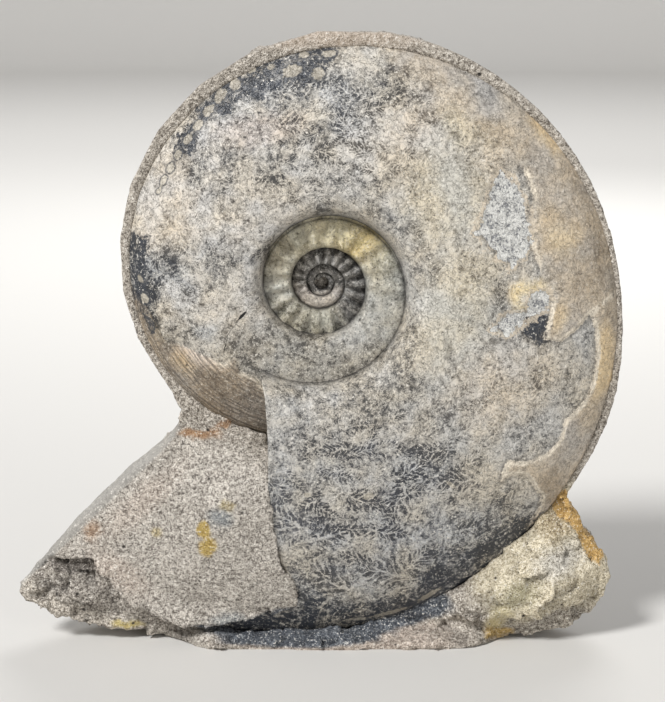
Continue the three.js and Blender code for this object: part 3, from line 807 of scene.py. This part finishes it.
white_speck = node(tree, "Math", {0: white_speck, 1: bumpiness}, operation="MULTIPLY")
colour = node(tree, "Mix", {0: white_speck, 6: colour, 7: (*srgb("#f1ece2"), 1)}, out=2, data_type="RGBA")
dark_speck = node(tree, "MapRange", {0: specks, 1: 0.79, 2: 0.73, 3: 0.0, 4: 0.75})
dark_speck = node(tree, "Math", {0: dark_speck, 1: bumpiness}, operation="MULTIPLY")
colour = node(tree, "Mix", {0: dark_speck, 6: colour, 7: (*srgb("#3b3a39"), 1)}, out=2, data_type="RGBA")

rough_pale = srgb("#e8e7e2")
rough_dark = srgb("#8a8b8e")
chips = node(tree, "Math", {0: fine, 1: grain}, operation="ADD")
chips = node(tree, "Math", {0: crust, 1: chips}, operation="ADD")
chips = node(tree, "MapRange", {0: chips, 1: 1.26, 2: 1.56})
rough_colour = node(tree, "Mix", {0: chips, 6: (*rough_dark, 1), 7: (*rough_pale, 1)},
                    out=2, data_type="RGBA")
colour = node(tree, "Mix", {0: rough_on, 6: colour, 7: rough_colour}, out=2, data_type="RGBA")
rough_rim = near(tree, rough_edge, -1.0, 1.15, 0.6)
rough_rim = node(tree, "Math", {0: rough_rim, 1: rim_break}, operation="MULTIPLY")
rough_rim = node(tree, "Math", {0: rough_rim, 1: 0.75}, operation="MULTIPLY")
colour = node(tree, "Mix", {0: rough_rim, 6: colour, 7: (*srgb("#e2d3bd"), 1)}, out=2, data_type="RGBA")
layer_shadow = near(tree, layer_edge, -1.1, 0.8, 0.2, 0.45)
layer_shadow = node(tree, "Math", {0: layer_shadow, 1: rim_break}, operation="MULTIPLY")
layer_shadow = node(tree, "Math", {0: layer_shadow, 1: rim_in}, operation="MULTIPLY")
colour = node(tree, "Mix", {0: layer_shadow, 6: colour, 7: (*srgb("#4d463e"), 1)}, out=2, data_type="RGBA")
colour = node(tree, "Mix", {0: layer_rim, 6: colour, 7: (*srgb("#f6ead6"), 1)}, out=2, data_type="RGBA")
spot_edge = node(tree, "Math", {0: wander, 1: 0.42, 2: spot_in}, operation="MULTIPLY_ADD")
spot_ring = node(tree, "MapRange", {0: spot_edge, 1: -0.42, 2: -0.12, 3: 0.0, 4: 0.8})
by_keel = node(tree, "MapRange", {0: node(tree, "SeparateXYZ", {0: grown_at}, out=2), 1: 0.70, 2: 0.78})
spot_ring = node(tree, "Math", {0: spot_ring, 1: by_keel}, operation="MULTIPLY")
colour = node(tree, "Mix", {0: spot_ring, 6: colour, 7: (*srgb("#4a4c50"), 1)}, out=2, data_type="RGBA")
spot_on = node(tree, "MapRange", {0: spot_edge, 1: -0.02, 2: 0.18})
spot_colour = node(tree, "Mix", {0: amount, 6: (*srgb("#a19a8d"), 1), 7: (*srgb("#dcd4c5"), 1)},
                   out=2, data_type="RGBA")
colour = node(tree, "Mix", {0: spot_on, 6: colour, 7: spot_colour}, out=2, data_type="RGBA")
crack_gap = node(tree, "Math", {0: crack_in}, operation="ABSOLUTE")
crack_gap = node(tree, "Math", {0: crack_gap, 1: crack_wide}, operation="SUBTRACT")
hole_in = node(tree, "Attribute", out=2, attribute_name="holes")
crack_gap = node(tree, "Math", {0: crack_gap, 1: hole_in}, operation="MINIMUM")
crack_on = node(tree, "MapRange", {0: crack_gap, 1: 0.2, 2: 0.04})
crack_break = node(tree, "MapRange", {0: crust, 1: 0.40, 2: 0.52, 3: 1.0, 4: 0.25})
narrow = node(tree, "Math", {0: crack_wide, 1: 0.1}, operation="LESS_THAN")
crack_break = node(tree, "Mix", {0: narrow, 2: 1.0, 3: crack_break})
crack_on = node(tree, "Math", {0: crack_on, 1: crack_break}, operation="MULTIPLY")
colour = node(tree, "Mix", {0: crack_on, 6: colour, 7: (*srgb("#1d1c1b"), 1)}, out=2, data_type="RGBA")

# Growth lines on the bared whorl run along the coil, 1 to 2 mm apart
line_at = node(tree, "SeparateXYZ", {0: grown_at}, out=2)
line_at = node(tree, "Math", {0: line_at, 1: 50.0}, operation="MULTIPLY")
line_at = node(tree, "Math", {0: mottle, 1: 3.0, 2: line_at}, operation="MULTIPLY_ADD")
line_wave = node(tree, "TexNoise", {"W": line_at, "Scale": 1.0, "Detail": 1.0}, noise_dimensions="1D")
line_wave = node(tree, "MapRange", {0: line_wave, 1: 0.36, 2: 0.60, 3: -1.0, 4: 1.0})
coil_angle = node(tree, "SeparateXYZ", {0: grown_at}, out=0)
on_bared = node(tree, "MapRange", {0: coil_angle, 1: math.radians(790), 2: math.radians(770)})
line_break = node(tree, "MapRange", {0: mottle, 1: 0.36, 2: 0.56, 3: 0.35, 4: 1.0})
lines = node(tree, "Math", {0: line_wave, 1: line_break}, operation="MULTIPLY")
lines = node(tree, "Math", {0: lines, 1: on_bared}, operation="MULTIPLY")
lines = node(tree, "Math", {0: lines, 1: layer_on}, operation="MULTIPLY")
line_shade = node(tree, "MapRange", {0: lines, 1: -1.0, 2: 1.0, 3: 0.58, 4: 1.28})
# The painted shade of the seams, rib hollows and overhang darkens the colour here along with the growth lines
line_shade = node(tree, "Math", {0: line_shade, 1: shade_in}, operation="MULTIPLY")
colour = node(tree, "VectorMath", {0: colour, 3: line_shade}, operation="SCALE")

# Height in millimetres of what is too fine for the mesh
height = node(tree, "Math", {0: grain, 1: 0.42}, operation="MULTIPLY")
height = node(tree, "Math", {0: crease, 1: -0.22, 2: height}, operation="MULTIPLY_ADD")
height = node(tree, "Math", {0: thread, 1: 0.35, 2: height}, operation="MULTIPLY_ADD")
rough_bump = node(tree, "Math", {0: fine, 1: rough_on}, operation="MULTIPLY")
height = node(tree, "Math", {0: rough_bump, 1: 0.5, 2: height}, operation="MULTIPLY_ADD")
height = node(tree, "Math", {0: layer_on, 1: 0.6, 2: height}, operation="MULTIPLY_ADD")
height = node(tree, "Math", {0: rough_on, 1: -0.6, 2: height}, operation="MULTIPLY_ADD")
height = node(tree, "Math", {0: lines, 1: 0.07, 2: height}, operation="MULTIPLY_ADD")
height = node(tree, "Math", {0: crack_on, 1: -0.8, 2: height}, operation="MULTIPLY_ADD")
height = node(tree, "Math", {0: fern, 1: 0.05, 2: height}, operation="MULTIPLY_ADD")
height = node(tree, "Math", {0: crust, 1: 0.45, 2: height}, operation="MULTIPLY_ADD")
bump = node(tree, "Bump", {"Strength": 1.0, "Distance": MM, "Height": height})
gloss = node(tree, "MapRange", {0: amount, 3: 0.40, 4: 0.62})
gloss = node(tree, "Math", {0: rough_on, 1: 0.25, 2: gloss}, operation="MULTIPLY_ADD")
surface = node(tree, "BsdfPrincipled", {"Base Color": colour, "Roughness": gloss, "Normal": bump})
node(tree, "OutputMaterial", {"Surface": surface})
ammonite_mesh.materials.append(stone)

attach(ammonite, "root")
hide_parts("ammonite")


# The rock
# The real piece is the slab of sandy limestone that the fossil lay in: sawn and chipped to a thin
# rim round the shell, with a plate of it still filling the lost end of the last whorl.

rock_cell = 0.9


def merged_copy(node_name, name):
    """A welded copy of a CAD node as an object of its own."""
    bm = bmesh.new()
    bm.from_mesh(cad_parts[node_name].data)
    bmesh.ops.remove_doubles(bm, verts=bm.verts, dist=0.001 * MM)
    mesh = bpy.data.meshes.new(name)
    bm.to_mesh(mesh)
    bm.free()
    made = bpy.data.objects.new(name, mesh)
    bpy.context.scene.collection.objects.link(made)
    return made


def apply_modifiers(thing):
    graph = bpy.context.evaluated_depsgraph_get()
    finished = bpy.data.meshes.new_from_object(thing.evaluated_get(graph))
    thing.modifiers.clear()
    thing.data = finished


rock = merged_copy("matrix", "matrix_rock")
remesh = rock.modifiers.new("even cells", "REMESH")
remesh.mode = "VOXEL"
remesh.voxel_size = rock_cell * MM
apply_modifiers(rock)


def facets(points, size, slope, seed):
    """The height of broken stone, in flat chips size millimetres across that tilt every way."""
    shift = Vector((seed * 5.7, seed * 2.3, seed))
    heights = []
    for point in points.tolist():
        at = Vector(point) / size + shift
        chip = noise.voronoi(at)[1][0]
        tilt = noise.cell_vector(chip * 3.7) * 2 - Vector((1, 1, 1))
        heights.append((at - chip).dot(tilt) * slope * size)
    return np.array(heights)


# The hollow behind the shell is hidden, so it keeps few faces
rock_mesh = rock.data
places = vertex_places(rock_mesh)
normals = np.zeros(len(places) * 3)
rock_mesh.vertices.foreach_get("normal", normals)
normals = normals.reshape(-1, 3)
hidden = (places[:, 1] > coil_y + 1.0) & (normals[:, 1] < 0)
behind = normals[:, 1] > 0.35
group = rock.vertex_groups.new(name="plain")
group.add(np.nonzero(hidden)[0].tolist(), 1.0, "REPLACE")
group.add(np.nonzero(behind & ~hidden)[0].tolist(), 0.25, "REPLACE")
rock_share = 0.47
thin = rock.modifiers.new("fewer faces", "DECIMATE")
thin.ratio = rock_share
thin.vertex_group = "plain"
thin.vertex_group_factor = 20
apply_modifiers(rock)
rock_mesh = rock.data

places = vertex_places(rock_mesh)
normals = np.zeros(len(places) * 3)
rock_mesh.vertices.foreach_get("normal", normals)
normals = normals.reshape(-1, 3)
x, y, z = places.T
radius = np.hypot(x - coil_x, z - coil_z)

rim_zone = np.where(x > 0, smooth(z, 58, 70), smooth(z, 92, 104)) * smooth(radius, 60, 70)
rim_zone *= 1 - smooth(normals[:, 1], 0.3, 0.7)
sawn_edge = 0.703 * (z - 91.5) - 0.712 * (x + 56)
sawn = smooth(sawn_edge, -2.2, -1.4) * (z > 22) * (z < 92.5) * (x < -54)
corner_zone = smooth(-x, 80, 90) * smooth(-z, -38, -34)
plate_outline = [
    (-20, 116), (-17, 107), (-17, 60), (-15, 50), (-12, 38), (-8, 30), (-5.5, 23.5), (-7, 16.5),
    (-16, 16.5), (-21, 13.8), (-29, 10.4), (-42, 8.2), (-54, 8.4), (-61.5, 10.8), (-66.4, 13.8),
    (-74.7, 19.4), (-83, 25.6), (-89, 37.6), (-99, 37), (-109, 38), (-112, 42), (-56, 92),
    (-52, 100), (-40, 112),
]
in_plate = smooth(to_outline(x, z, plate_outline), -1.0, 1.5) * smooth(-normals[:, 1], 0.2, 0.6)
coarse = 1 + 0.7 * corner_zone - np.clip(0.8 * in_plate + 0.88 * rim_zone + 0.97 * sawn, 0, 0.97)
lump = 0.8 * clouds(places, 14, 2, 21.0) + facets(places, 10.0, 0.20, 1.0) + facets(places, 4.5, 0.16, 2.0)
grit = 0.30 * clouds(places, 1.9, 3, 23.0) + facets(places, 2.4, 0.10, 3.0)
push = coarse * lump + (0.35 + 0.65 * coarse) * grit
push *= 1 - 0.9 * smooth(y, coil_y + 0.2, coil_y + 1.5) * (normals[:, 1] < 0.1)
push = np.where(z < 1.2, 0, push)
moved = places + normals * push[:, None]
low, high = np.array(cad_low) / MM, np.array(cad_high) / MM
moved = np.clip(moved, low, high)
rock_mesh.vertices.foreach_set("co", (moved * MM).ravel())
for face in rock_mesh.polygons:
    face.use_smooth = True

sand = ("#e3dbd0", "#6e675f", 0.62)
ochre = ("#d6bb74", "#8f7438", 0.72)
faint_ochre = ("#c9b67f", "#948358", 0.7)
blue_grey = ("#b1b4b3", "#73777a", 0.6)
orange = ("#c39a72", "#8f6a4a", 0.65)
dark_rock = ("#cbc3b8", "#5a534c", 0.52)
lobe_rock = ("#ece1c8", "#8a7d62", 0.70)
lit_rock = ("#ece7dc", "#857e73", 0.68)
pink_rock = ("#e2d1c2", "#83756a", 0.64)

state = {
    "bloom": np.tile(srgb("#dad1c4"), (len(places), 1)),
    "ground": np.tile(srgb("#6b6359"), (len(places), 1)),
    "cover": np.full(len(places), 0.55),
}
rock_zones = [
    ((-50, 45, 60, 50, 0), 0.3, 1.0, sand),
    ((-70, 62, 34, 9, 45), 0.8, 0.5, pink_rock),
    ((-80, 32, 22, 10, -40), 0.8, 0.6, pink_rock),
    ((-100, 27, 28, 12, -25), 0.4, 1.0, dark_rock),
    ((-99, 33, 13, 4.5, 5), 0.6, 0.8, ("#8e8780", "#4a4541", 0.4)),
    ((-70, 12, 26, 7, -32), 0.6, 0.9, dark_rock),
    ((-38, 58.5, 7, 7, 30), 0.8, 0.9, blue_grey),
    ((-44.5, 53, 3.2, 5.4, 0), 0.35, 1.0, ochre),
    ((-43.6, 45, 5.0, 5.2, 0), 0.35, 1.0, ochre),
    ((-63.6, 50, 3.5, 3.2, 0), 0.6, 0.7, faint_ochre),
    ((-34.5, 64, 4, 3.2, 0), 0.6, 0.6, faint_ochre),
    ((-47, 89.5, 12, 2.6, -8), 0.7, 0.9, orange),
    ((-36, 92, 8, 2.0, 12), 0.7, 0.8, orange),
    ((-90, 50, 6, 7, -30), 0.8, 0.6, orange),
    ((-36, 11, 12, 5, 8), 0.8, 0.8, blue_grey),
    ((-62, 176, 5, 14, -20), 0.8, 0.7, orange),
    ((5, 246, 60, 9, 0), 0.7, 0.9, ("#d8cabb", "#9d8e7c", 0.7)),
    ((96, 36, 42, 36, 0), 0.3, 1.0, lobe_rock),
    ((98, 36, 16, 10, 25), 0.9, 0.9, lit_rock),
    ((97, 50, 12, 9, 30), 0.7, 0.9, ("#cfbf9f", "#74654c", 0.55)),
    ((82, 22, 14, 9, 30), 0.9, 0.7, ("#c2bb98", "#857d5f", 0.62)),
    ((98, 9, 28, 7, 14), 0.7, 0.8, dark_rock),
    ((10, 3, 60, 6, 0), 0.5, 0.8, pink_rock),
    ((73, 8, 7, 7, -30), 0.6, 0.9, ("#e2d2a4", "#a8945f", 0.72)),
    ((75, 14, 7, 6, 0), 0.8, 0.9, ("#e9ddb9", "#b5a77a", 0.8)),
    ((75, 3.4, 8, 3.4, -8), 0.5, 1.0, ("#e9c888", "#a08242", 0.75)),
    ((-78, 7, 9, 2.4, -6), 0.6, 1.0, ("#d8c78e", "#a8955c", 0.85)),
]
warp_x = x + 1.6 * clouds(places, 6, 3, 31.0)
warp_z = z + 1.6 * clouds(places, 6, 3, 32.0)
front_only = smooth(coil_y + 6 - y, 0, 6)
plain = {key: value.copy() for key, value in state.items()}
for place, soft, strength, look in rock_zones:
    paint(state, warp_x, warp_z, place, soft, strength, look)
foot_band = (2, 12.5, 58, 12.0, 3)
paint(state, x, z + 0.4 * (warp_z - z), foot_band, 0.12, 1 - in_plate, ("#8b9096", "#3c4047", 0.34))
for key in plain:
    share = front_only.reshape((-1,) + (1,) * (plain[key].ndim - 1))
    store(rock_mesh, key, mix(plain[key], state[key], share))

orange_band = [
    (97, 63), (101, 64), (106, 60), (109, 52), (113, 45), (117, 38), (115, 33), (110, 36), (107, 44),
    (103, 50), (98, 53), (95, 57),
]
store(rock_mesh, "ochre", np.where(y < coil_y + 8, np.clip(to_outline(x, z, orange_band), -6, 6), -6))
store(rock_mesh, "sawn", sawn)
# Painted shade in the hollows of the broken stone and painted light on its lumps: the colour darkens where
# the surface was pushed in and brightens where it stands out
store(rock_mesh, "shade", np.clip(0.93 + 0.22 * push, 0.55, 1.12))

# Sandy limestone: pale and dark grains side by side, dull all over, with pits and fine cracks
limestone = bpy.data.materials.new("sandy_limestone_broken")
limestone.use_nodes = True
tree = limestone.node_tree
tree.nodes.clear()
spot = node(tree, "TexCoord", out=3)
mm_scale = node(tree, "VectorMath", {0: spot, 3: 1 / MM}, operation="SCALE")
bloom = node(tree, "Attribute", attribute_name="bloom")
ground = node(tree, "Attribute", attribute_name="ground")
cover = node(tree, "Attribute", out=2, attribute_name="cover")
ochre_in = node(tree, "Attribute", out=2, attribute_name="ochre")
sawn_in = node(tree, "Attribute", out=2, attribute_name="sawn")
shade_in = node(tree, "Attribute", out=2, attribute_name="shade")
grain = node(tree, "TexNoise", {"Vector": mm_scale, "Scale": 0.8, "Detail": 2.0, "Roughness": 0.65})
sand_grain = node(tree, "TexNoise", {"Vector": mm_scale, "Scale": 1.9, "Detail": 1.0, "Roughness": 0.5})
mottle = node(tree, "TexNoise", {"Vector": mm_scale, "Scale": 0.12, "Detail": 6.0, "Roughness": 0.7})
wander = node(tree, "MapRange", {0: grain, 3: -2.0, 4: 2.0})
ochre_edge = node(tree, "Math", {0: ochre_in, 1: wander}, operation="ADD")
ochre_on = node(tree, "MapRange", {0: ochre_edge, 1: -0.4, 2: 0.6})
grain_lift = node(tree, "MapRange", {0: grain, 1: 0.3, 2: 0.7, 3: -0.52, 4: 0.52})
amount = node(tree, "Math", {0: cover, 1: grain_lift}, operation="ADD")
sand_lift = node(tree, "MapRange", {0: sand_grain, 1: 0.3, 2: 0.7, 3: -0.42, 4: 0.42})
amount = node(tree, "Math", {0: amount, 1: sand_lift}, operation="ADD")
mottle_lift = node(tree, "MapRange", {0: mottle, 1: 0.3, 2: 0.7, 3: -0.16, 4: 0.16})
amount = node(tree, "Math", {0: amount, 1: mottle_lift}, operation="ADD")
amount = node(tree, "MapRange", {0: amount, 1: 0.0, 2: 1.0})
colour = node(tree, "Mix", {0: amount, 6: ground, 7: bloom}, out=2, data_type="RGBA")
ochre_shade = node(tree, "Mix", {0: amount, 6: (*srgb("#a17b43"), 1), 7: (*srgb("#e2bd7c"), 1)},
                   out=2, data_type="RGBA")
colour = node(tree, "Mix", {0: ochre_on, 6: colour, 7: ochre_shade}, out=2, data_type="RGBA")
sawn_part = node(tree, "Math", {0: sawn_in, 1: 0.7}, operation="MULTIPLY")
colour = node(tree, "Mix", {0: sawn_part, 6: colour, 7: (*srgb("#9c9a95"), 1)}, out=2, data_type="RGBA")
specks = node(tree, "Math", {0: sand_grain, 1: grain}, operation="ADD")
white_speck = node(tree, "MapRange", {0: specks, 1: 1.17, 2: 1.26, 3: 0.0, 4: 0.85})
colour = node(tree, "Mix", {0: white_speck, 6: colour, 7: (*srgb("#f4efe6"), 1)}, out=2, data_type="RGBA")
pit_holes = node(tree, "TexVoronoi", {"Vector": mm_scale, "Scale": 0.11})
pit_on = node(tree, "MapRange", {0: pit_holes, 1: 0.10, 2: 0.05})
colour = node(tree, "Mix", {0: pit_on, 6: colour, 7: (*srgb("#3c3833"), 1)}, out=2, data_type="RGBA")
bend = node(tree, "TexNoise", {"Vector": mm_scale, "Scale": 0.25, "Detail": 3.0}, out=1)
bent = node(tree, "VectorMath", {0: bend, 1: (7.0, 7.0, 7.0), 2: mm_scale}, operation="MULTIPLY_ADD")
plates = node(tree, "TexVoronoi", {"Vector": bent, "Scale": 0.11}, feature="DISTANCE_TO_EDGE")
crack_on = node(tree, "MapRange", {0: plates, 1: 0.022, 2: 0.006})
crack_some = node(tree, "MapRange", {0: mottle, 1: 0.53, 2: 0.60, 3: 0.0, 4: 0.8})
on_left = node(tree, "MapRange", {0: node(tree, "SeparateXYZ", {0: mm_scale}), 1: 0.0, 2: -20.0})
crack_some = node(tree, "Math", {0: crack_some, 1: on_left}, operation="MULTIPLY")
crack_on = node(tree, "Math", {0: crack_on, 1: crack_some}, operation="MULTIPLY")
colour = node(tree, "Mix", {0: crack_on, 6: colour, 7: (*srgb("#4b453f"), 1)}, out=2, data_type="RGBA")
# Painted shade in the hollows and painted light on the lumps of the broken stone
colour = node(tree, "VectorMath", {0: colour, 3: shade_in}, operation="SCALE")
height = node(tree, "Math", {0: grain, 1: 1.3}, operation="MULTIPLY")
height = node(tree, "Math", {0: crack_on, 1: -0.5, 2: height}, operation="MULTIPLY_ADD")
height = node(tree, "Math", {0: sand_grain, 1: 0.55, 2: height}, operation="MULTIPLY_ADD")
height = node(tree, "Math", {0: pit_on, 1: -0.6, 2: height}, operation="MULTIPLY_ADD")
calm = node(tree, "MapRange", {0: sawn_in, 3: 1.0, 4: 0.15})
bump = node(tree, "Bump", {"Strength": calm, "Distance": MM, "Height": height})
surface = node(tree, "BsdfPrincipled", {"Base Color": colour, "Roughness": 0.88, "Normal": bump})
node(tree, "OutputMaterial", {"Surface": surface})
rock_mesh.materials.append(limestone)

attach(rock, "root")
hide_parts("matrix")


# The room
# A plain pale floor that curves up behind the fossil, lit softly from the upper left, with a small
# lamp for the backdrop, and a camera a little above the fossil's middle that looks slightly down.

floor_radius = 4.5
bend_radius = 1.0
bend_steps = 16
wall_height = 1.0
turn_steps = 96

floor_bm = bmesh.new()
profile = [Vector((0, 0, 0)), Vector((floor_radius, 0, 0))]
for k in range(1, bend_steps + 1):
    slope = k * math.pi / 2 / bend_steps
    bend_out = bend_radius * math.sin(slope)
    bend_up = bend_radius * (1 - math.cos(slope))
    profile.append(Vector((floor_radius + bend_out, 0, bend_up)))
profile.append(profile[-1] + Vector((0, 0, wall_height)))
corners = [floor_bm.verts.new(place) for place in profile]
edges = [floor_bm.edges.new(pair) for pair in zip(corners, corners[1:])]
bmesh.ops.spin(floor_bm, geom=corners + edges, cent=(0, 0, 0), axis=(0, 0, 1), angle=2 * math.pi,
               steps=turn_steps, use_merge=True)
bmesh.ops.remove_doubles(floor_bm, verts=floor_bm.verts, dist=1e-5)
bmesh.ops.recalc_face_normals(floor_bm, faces=floor_bm.faces)
floor_mesh = bpy.data.meshes.new("floor")
floor_bm.to_mesh(floor_mesh)
floor_bm.free()
for face in floor_mesh.polygons:
    face.use_smooth = True
floor = bpy.data.objects.new("floor", floor_mesh)
bpy.context.scene.collection.objects.link(floor)
# Matt paper: an even pale surface without gloss, so that only the soft shadow shows on it
paper = bpy.data.materials.new("matt_paper")
paper.use_nodes = True
paper_surface = paper.node_tree.nodes["Principled BSDF"]
paper_surface.inputs["Base Color"].default_value = (*srgb("#d8d6d2"), 1)
paper_surface.inputs["Roughness"].default_value = 0.9
floor_mesh.materials.append(paper)

aim = Vector((0.0065, -0.0057, 0.121))
lights = [
    ("key", (-1.9, -1.9, 2.8), aim, 0.9, 138),
    ("fill", (2.0, -2.6, 0.9), aim, 2.0, 22),
    ("back", (0.3, 1.2, 1.0), aim, 0.9, 9),
    ("backdrop", (0, 1.5, 2.5), Vector((0, 5, 0.3)), 2.0, 62),
]
for name, place, towards, size, power in lights:
    lamp = bpy.data.lights.new(name, "AREA")
    lamp.shape = "DISK"
    lamp.size = size
    lamp.energy = power
    shown = bpy.data.objects.new(name, lamp)
    shown.location = place
    shown.rotation_euler = (towards - Vector(place)).to_track_quat("-Z", "Y").to_euler()
    bpy.context.scene.collection.objects.link(shown)

world = bpy.data.worlds.new("studio")
world.use_nodes = True
world.node_tree.nodes["Background"].inputs["Color"].default_value = (*srgb("#e9e9ec"), 1)
world.node_tree.nodes["Background"].inputs["Strength"].default_value = 0.26
bpy.context.scene.world = world
bpy.context.scene.view_settings.view_transform = "Standard"

camera_distance = 0.70
camera_height = math.radians(12)
frame_pixels = 702
focal_pixels = 1750
lens = bpy.data.cameras.new("camera")
lens.sensor_width = 36
lens.lens = lens.sensor_width * focal_pixels / frame_pixels
lens.clip_start = 0.01
camera = bpy.data.objects.new("camera", lens)
back_off = Vector((0, -math.cos(camera_height), math.sin(camera_height))) * camera_distance
camera.location = aim + back_off
camera.rotation_euler = (-back_off).to_track_quat("-Z", "Y").to_euler()
bpy.context.scene.collection.objects.link(camera)
bpy.context.scene.camera = camera
